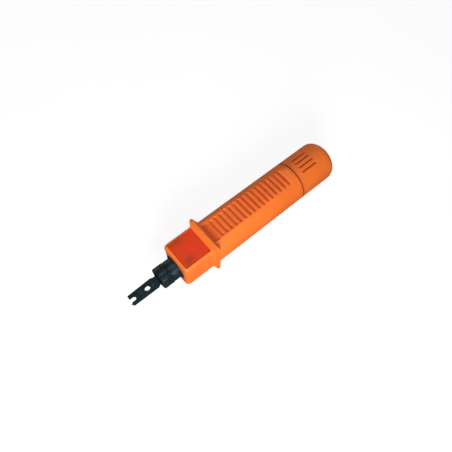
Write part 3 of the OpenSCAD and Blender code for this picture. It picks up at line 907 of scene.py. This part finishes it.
def make_holder():
    """The fluted collar, with the rod's bore at its rear and the blade's at its front."""
    rear = holder_low.x
    rear_r = (holder_high.y - holder_low.y) / 2
    rod_r, rod_l = ROD_BORE
    groove_half, groove_deep = RING_GROOVE
    corners = [
        (rear + BLADE_BORE_REAR, 0, 0), (rear + BLADE_BORE_REAR, BLADE_BORE, 0),
        (chamber_rear, BLADE_BORE, 0), (chamber_rear, CHAMBER[0], 0),
        (wall_rear, CHAMBER[0], 0), (wall_rear, BLADE_BORE, 0),
        (face - MOUTH[1], BLADE_BORE, 0), (face - MOUTH[1], MOUTH[0], 0.15),
        (face, MOUTH[0], 0.25), (face, HOLDER_R - 0.45, 0.15), (face - 0.45, HOLDER_R, 0.2),
        (holder_step + groove_half, HOLDER_R, 0.15),
        (holder_step + groove_half, WAIST_R - groove_deep, 0.08),
        (holder_step - groove_half, WAIST_R - groove_deep, 0.08),
        (holder_step - groove_half, WAIST_R, 0.12),
        (nose_face - 1.9, WAIST_R, 0.1), (nose_face - 2.1, HOLDER_R, 0.2),
        (rear + HOLDER_FLANGE_L, HOLDER_R, 0.3), (rear + HOLDER_FLANGE_L, rear_r, 0.3),
        (rear, rear_r, 0.3), (rear, rod_r, 0.2), (rear + rod_l, rod_r, 0), (rear + rod_l, 0, 0),
    ]
    profile = fillet_path(corners, steps=4)
    flute = (0, 0.8, 1.6, 2.3, 2.9, 3.3, 3.6, 4.2, 6.0)
    centres = [(k + 0.5) * 360 / FLUTES for k in range(FLUTES)]
    ears = list(np.linspace(15, 22.5, 7))
    angles = spread(centres, both_sides(flute), even_angles(72))
    angles = spread([0, 180], both_sides(ears), angles)
    x = np.array([p[0] for p in profile])[:, None]
    r = np.array([p[1] for p in profile])[:, None]
    x, r, angle = np.broadcast_arrays(x, r, np.radians(angles)[None, :])
    # Painted shade: the flutes made darker towards their bottoms, through the gap layer.
    sunk_shade = np.clip((r - holder_radius(x, r, angle)) / FLUTE_R, 0, 1) * (r > WAIST_R - 0.4)
    layers = {"gap": sunk_shade}
    piece = turned_piece("holder_collar", profile, angles, False, holder_radius, layers)
    dress(piece, "plunger", "black_steel", "blade_holder")


# ---------- Blade ----------

FORK_SLOT = (3.0, 3.7, 0.55)  # width, depth, and its middle's shift from the axis
BLADE_HOLE = (1.6, 0.4, 8.5)  # radius, straight length, and distance from the holder's face
SHOULDER = 2.3  # from the holder's face
PLATE_EDGE = 0.14
SHANK_R = 3.2
CLIP_GROOVE = (-0.35, 0.6, 2.7)  # middle from the nose's face, half width and radius
EARS = (1.4, 2.5, 4.6, 1.1)  # gap behind them, length, half span and half thickness


def blade_outline(start):
    """Outline of the two plates from x = start: neck, shoulders, two prongs and their slot."""
    end = fork_high.x
    width, depth, middle = FORK_SLOT
    shoulder = face + SHOULDER
    corners = [
        (start, 3.1, 0.1), (start, -2.9, 0.1), (shoulder, -2.9, 0.3),
        (shoulder + 1.4, -3.5, 0.6), (end, -2.95, 0.25), (end, middle - width / 2, 0.2),
        (end - depth, middle - width / 2, width * 0.48),
        (end - depth, middle + width / 2, width * 0.48),
        (end, middle + width / 2, 0.2), (end, 3.95, 0.25), (shoulder, 4.05, 0.5),
        (shoulder - 1, 3.1, 0.3),
    ]
    return fillet_path(corners, closed=True, steps=6)


def blade_hole():
    """Outline of the hole through both plates, a very short slot."""
    radius, slot, ahead = BLADE_HOLE
    middle = FORK_SLOT[2] - 0.2
    return [
        (face + ahead + math.copysign(slot / 2, math.cos(a)) + radius * math.cos(a),
         middle + radius * math.sin(a))
        for a in np.radians(np.arange(0, 360, 9) + 4.5)
    ]


def make_plate(name, node, outline, holes, low, high, edge):
    points, faces = plate_mesh(outline, holes, low, high, edge)
    dress(new_piece(name, points, faces, 20), "blade", "blade_steel", node)


def make_blade():
    """The two plates, the cutting point, the round shank and the locking ears."""
    low = rivet_low.z - axis_height + 0.1
    split = cutter_low.z - axis_height - 0.01
    high = cutter_high.z - axis_height
    outline = blade_outline(face - 1.1)
    make_plate("fork_plate", "blade_body", outline, [blade_hole()], low, split, PLATE_EDGE)

    outline = blade_outline(face + 0.2)
    upper = split + 0.01
    make_plate("cutter_plate", "cutter_blade", outline, [blade_hole()], upper, high, PLATE_EDGE)

    tip, end = cutter_high.x, fork_high.x
    spike = fillet_path([
        (end - 1.2, 2.6, 0), (end, 2.55, 0.1), (tip, 3.1, 0.06),
        (end, 3.65, 0.1), (end - 1.2, 3.6, 0),
    ], closed=True)
    make_plate("cutter_point", "cutter_blade", spike, [], split + 0.05, high - 0.02, 0.1)

    start = fork_low.x
    clip = nose_face + CLIP_GROOVE[0]
    clip_half, clip_r = CLIP_GROOVE[1:]
    shank = fillet_path([
        (start, 0, 0), (start, SHANK_R, 0.5), (clip - clip_half, SHANK_R, 0.1),
        (clip - clip_half, clip_r, 0.1), (clip + clip_half, clip_r, 0.1),
        (clip + clip_half, SHANK_R, 0.1), (face - 0.6, SHANK_R, 0.3), (face - 0.6, 0, 0),
    ])
    stem = turned_piece("blade_shank", shank, even_angles(64), False)
    dress(stem, "blade", "blade_steel", "blade_body")

    gap, length, span, thick = EARS
    ear_rear = chamber_rear + gap
    ear_front = ear_rear + length
    block = fillet_path([
        (ear_rear, -span, 0.5), (ear_front, -span, 0.5),
        (ear_front, span, 0.5), (ear_rear, span, 0.5),
    ], closed=True)
    make_plate("blade_ears", "blade_body", block, [], -thick, thick, 0.2)


def make_rivets():
    """Two low domed rivets through both plates."""
    low, high = rivet_low.z - axis_height, rivet_high.z - axis_height
    radius = (rivet_high.y - rivet_low.y) / 2
    middle = (rivet_high.y + rivet_low.y) / 2
    profile = fillet_path([
        (low, 0, 0), (low, radius, 0.12), (high - 0.05, radius, 0.12), (high + 0.06, 0, 0),
    ])
    places = (("rear_rivet", rivet_low.x + radius), ("front_rivet", rivet_high.x - radius))
    for name, x in places:
        points = turned(profile, even_angles(32))
        points = np.stack([x + points[:, 1], middle + points[:, 2], points[:, 0]], axis=-1)
        piece = new_piece(name, points, grid_faces(len(profile), 32, False))
        dress(piece, "blade", "rivet_steel", "cutter_rivets")


# ---------- Pieces that keep their CAD shape ----------

def dress_inner_nodes():
    """Finishes for the CAD nodes that stay, each from its own material slot."""
    slots = {s["node"]: s["material_slot"] for s in frame["record"]["subparts"]}
    for node, item in frame["nodes"].items():
        if item.hide_render:
            continue
        item.data.materials.clear()
        item.data.materials.append(materials[slots[node]])


# ---------- Light and floor ----------

WORLD_GLOW = 0.15
FLOOR_GLOW = 0.8
FLOOR_R = 1.0
BACKDROP_BEND = 0.8
BACKDROP_TOP = 2.2

# Name, shift of the aim from the tool's middle, azimuth from +X towards +Y, elevation,
# distance, size and watts.
LIGHTS = (
    ("key", (0.020, 0, 0), 60, 24, 0.26, (0.12, 0.12), 0.99),
    ("top", (0, 0, 0), 0, 88, 0.9, (0.5, 0.5), 2.4),
    ("fill", (0, 0, 0), -80, 6, 0.8, (0.5, 0.3), 1.3),
    ("rear", (0, 0, 0), 205, 4, 0.8, (0.4, 0.3), 0.7),
)


def soft_light(name, shift, azimuth, elevation, distance, size, power):
    """An area light aimed near the tool's middle and hidden from the camera."""
    turn, rise = math.radians(azimuth), math.radians(elevation)
    outward = Vector((
        math.cos(turn) * math.cos(rise), math.sin(turn) * math.cos(rise), math.sin(rise),
    ))
    light = bpy.data.lights.new(name, "AREA")
    light.shape = "RECTANGLE"
    light.size, light.size_y = size
    light.energy = power
    lamp = bpy.data.objects.new(name, light)
    lamp.location = Vector((0, 0, axis_height / MM)) + Vector(shift) + outward * distance
    lamp.rotation_mode = "QUATERNION"
    lamp.rotation_quaternion = (-outward).to_track_quat("-Z", "Y")
    lamp.visible_camera = False
    scene.collection.objects.link(lamp)


def make_floor():
    """A round floor that bends up into a backdrop all round, like a studio's cove."""
    material = new_material("floor", 0.9)
    n = Nodes(material)
    mottle = n.mix(n.noise(8, 2), (0.3, 0.3, 0.3), (0.32, 0.32, 0.32))
    n.join(mottle, n.shader.inputs["Base Color"])
    n.shader.inputs["Emission Color"].default_value = (1, 1, 1, 1)
    n.shader.inputs["Emission Strength"].default_value = FLOOR_GLOW
    side = [(0.001, 0.0), (FLOOR_R, 0.0)]
    for bend in np.radians(np.arange(6, 91, 6)):
        out, up = BACKDROP_BEND * math.sin(bend), BACKDROP_BEND * (1 - math.cos(bend))
        side.append((FLOOR_R + out, up))
    side.append((side[-1][0], BACKDROP_TOP))
    turn = np.radians(even_angles(96))
    points = [(r * math.cos(a), r * math.sin(a), z) for r, z in side for a in turn]
    mesh = bpy.data.meshes.new("floor")
    middle = list(range(len(turn)))
    mesh.from_pydata(points, [], [*grid_faces(len(side), len(turn), False), middle])
    mesh.polygons.foreach_set("use_smooth", [True] * len(mesh.polygons))
    floor = bpy.data.objects.new("floor", mesh)
    floor.data.materials.append(material)
    scene.collection.objects.link(floor)
    floor.visible_diffuse = False
    floor.visible_glossy = False


def make_lights():
    world = bpy.data.worlds.new("world")
    world.use_nodes = True
    background = world.node_tree.nodes["Background"]
    background.inputs["Color"].default_value = (1, 1, 1, 1)
    background.inputs["Strength"].default_value = WORLD_GLOW
    scene.world = world
    for light in LIGHTS:
        soft_light(*light)
    scene.view_settings.view_transform = "Standard"


make_camera()
make_grip()
make_cap()
make_panels()
make_bush()
make_holder()
make_blade()
make_rivets()
dress_inner_nodes()
make_floor()
make_lights()
